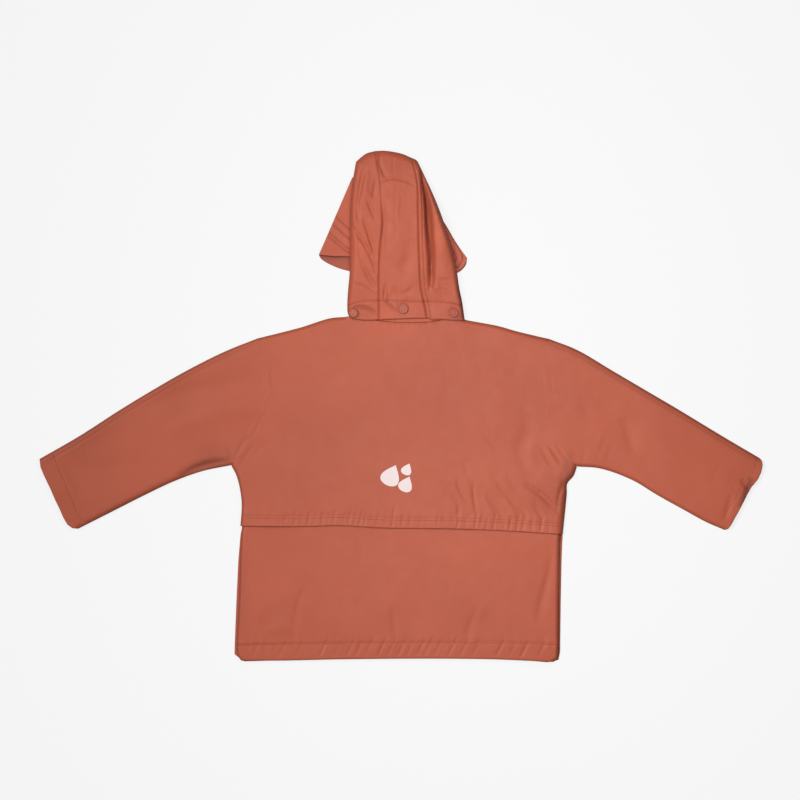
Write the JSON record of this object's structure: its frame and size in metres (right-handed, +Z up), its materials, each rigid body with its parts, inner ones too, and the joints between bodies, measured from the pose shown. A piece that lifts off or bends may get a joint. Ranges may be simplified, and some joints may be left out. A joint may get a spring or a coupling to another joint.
{
  "type": "kids rain jacket",
  "caption": "Child's rain jacket laid flat with its back up: long sleeves, a free flap over the lower back, and a press-studded hood with a stitched peak.",
  "frame": {"origin": "on the surface that the jacket lies on, below the middle of its outline", "axes": "+X towards the sleeve on the right of the view of the back, +Y from the hem towards the hood, +Z up from the surface"},
  "size_m": [0.9036, 0.6376, 0.0205],
  "materials": {
    "coated_cloth": "matt coated cloth, terracotta, faint sheen",
    "stud": "satin moulded, dyed to match the cloth",
    "print": "thin matt transfer print, pale pink",
    "thread": "polyester sewing thread, dyed to match"
  },
  "bodies": {
    "root": {"front_left": "coated_cloth", "front_right": "coated_cloth", "front_placket": "coated_cloth", "back_lower": "coated_cloth", "back_upper": "coated_cloth", "sleeve_left": "coated_cloth", "sleeve_right": "coated_cloth", "collar": "coated_cloth", "hood_side_left": "coated_cloth", "hood_centre": "coated_cloth", "hood_side_right": "coated_cloth", "hood_front": "coated_cloth", "hood_peak_under": "coated_cloth", "hood_peak_top": "coated_cloth", "hood_stud_left": "stud", "hood_stud_centre": "stud", "hood_stud_right": "stud"}
  },
  "joints": []
}
